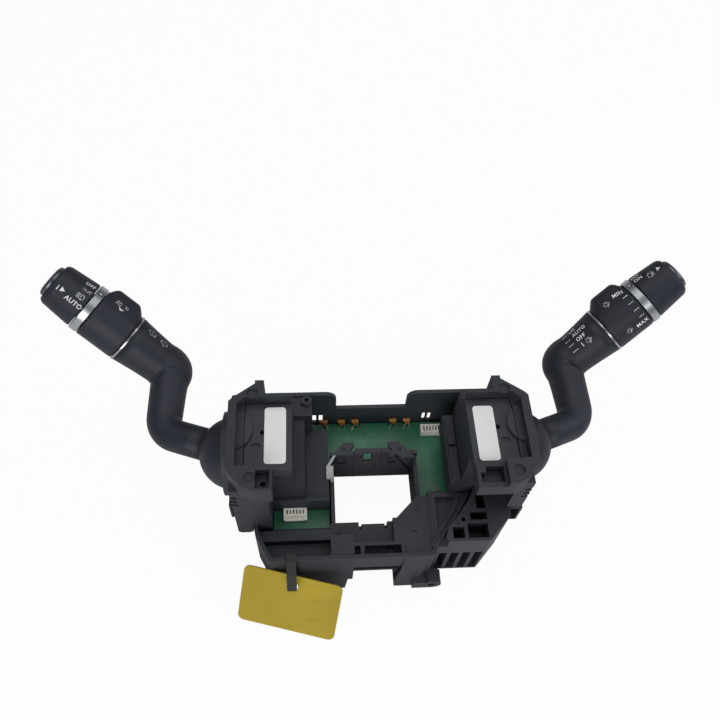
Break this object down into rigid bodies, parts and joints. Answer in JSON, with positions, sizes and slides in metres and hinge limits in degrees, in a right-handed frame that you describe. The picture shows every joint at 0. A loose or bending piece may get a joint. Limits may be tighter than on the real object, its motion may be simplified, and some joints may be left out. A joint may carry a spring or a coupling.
{
  "type": "combination stalk switch",
  "caption": "Steering column combination switch: a black housing round a square column opening carries two cranked stalks on ball joints, with turning collars, end knobs and push buttons.",
  "frame": {"origin": "on the steering column axis, in the plane of the housing's feet", "axes": "+X to the right stalk as the driver sees it, +Y up in the vehicle across the column, +Z along the column towards the driver"},
  "size_m": [0.4018, 0.2014, 0.1238],
  "materials": {
    "housing_black": "fine grained black moulding",
    "housing_satin": "satin black moulding",
    "lever_black": "smooth matte black",
    "bright_ring": "bright plated",
    "index_silver": "satin silver",
    "cap_grey": "satin dark grey cap",
    "steel": "turned",
    "nylon": "natural white",
    "board": "green solder mask",
    "amber": "amber lacquer",
    "tab_grey": "light grey",
    "tie_black": "black nylon",
    "tag_yellow": "matte yellow card"
  },
  "bodies": {
    "housing": {"carrier": "housing_black", "column_bracket": "housing_satin", "rear_wall": "housing_satin", "inner_cover": "housing_black", "connector_housing": "housing_satin", "left_socket": "housing_satin", "right_socket": "housing_satin", "circuit_board": "board", "header_front": "nylon", "header_rear": "nylon", "capacitors": "amber", "column_tab": "tab_grey", "left_tower": "housing_black", "right_tower": "housing_black", "left_rim": "housing_black", "right_rim": "housing_black", "left_block": "housing_satin", "right_block": "housing_satin", "left_seat": "housing_satin", "right_seat": "housing_satin", "cable_tie": "tie_black"},
    "left_gimbal_body": {"left_gimbal": "nylon", "left_plunger": "steel"},
    "left_lever": {"left_shroud": "lever_black", "left_arm": "lever_black", "left_pivot": "steel", "left_spigot": "nylon", "left_trim_ring": "bright_ring", "left_index_ring": "index_silver"},
    "left_collar_body": {"left_collar": "lever_black"},
    "left_knob_body": {"left_knob": "lever_black"},
    "left_button_body": {"left_button": "cap_grey"},
    "right_gimbal_body": {"right_gimbal": "nylon", "right_plunger": "steel"},
    "right_lever": {"right_shroud": "lever_black", "right_arm": "lever_black", "right_pivot": "steel", "right_spigot": "nylon", "right_trim_ring": "bright_ring", "right_index_ring": "index_silver"},
    "right_collar_body": {"right_collar": "lever_black"},
    "right_knob_body": {"right_knob": "lever_black"},
    "right_button_body": {"right_button": "cap_grey"},
    "tag_body": {"hang_tag": "tag_yellow"}
  },
  "joints": [
    {"name": "left_turn", "type": "hinge", "parent": "housing", "child": "left_gimbal_body", "pos_m": [-0.084, 0.014, 0.07], "axis": [0, 0, 1], "range_deg": [-9, 9]},
    {"name": "left_pull", "type": "hinge", "parent": "left_gimbal_body", "child": "left_lever", "pos_m": [-0.084, 0.014, 0.07], "axis": [0, 1, 0], "range_deg": [-6, 6], "stiffness_Nm_per_rad": 6},
    {"name": "left_collar_turn", "type": "hinge", "parent": "left_lever", "child": "left_collar_body", "pos_m": [-0.1627, 0.0943, 0.0902], "axis": [-0.7293, 0.3796, 0.5693], "range_deg": [-20, 20]},
    {"name": "left_knob_turn", "type": "hinge", "parent": "left_lever", "child": "left_knob_body", "pos_m": [-0.18454, 0.10567, 0.10725], "axis": [-0.7293, 0.3796, 0.5693], "range_deg": [-30, 60]},
    {"name": "left_button_press", "type": "slide", "parent": "left_lever", "child": "left_button_body", "axis": [0.7293, -0.3796, -0.5693], "range_m": [0, 0.0015], "stiffness_N_per_m": 2000},
    {"name": "right_turn", "type": "hinge", "parent": "housing", "child": "right_gimbal_body", "pos_m": [0.084, 0.014, 0.07], "axis": [0, 0, 1], "range_deg": [-9, 9]},
    {"name": "right_pull", "type": "hinge", "parent": "right_gimbal_body", "child": "right_lever", "pos_m": [0.084, 0.014, 0.07], "axis": [0, -1, 0], "range_deg": [-6, 6], "stiffness_Nm_per_rad": 6},
    {"name": "right_collar_turn", "type": "hinge", "parent": "right_lever", "child": "right_collar_body", "pos_m": [0.1627, 0.0943, 0.0902], "axis": [0.7293, 0.3796, 0.5693], "range_deg": [-20, 20]},
    {"name": "right_knob_turn", "type": "hinge", "parent": "right_lever", "child": "right_knob_body", "pos_m": [0.18454, 0.10567, 0.10725], "axis": [0.7293, 0.3796, 0.5693], "range_deg": [-30, 30]},
    {"name": "right_button_press", "type": "slide", "parent": "right_lever", "child": "right_button_body", "axis": [-0.7293, -0.3796, -0.5693], "range_m": [0, 0.0015], "stiffness_N_per_m": 2000},
    {"name": "tag_swing", "type": "hinge", "parent": "housing", "child": "tag_body", "pos_m": [-0.0523, -0.053, 0.0256], "axis": [0.9646, -0.2639, 0], "range_deg": [-3, 28]}
  ]
}
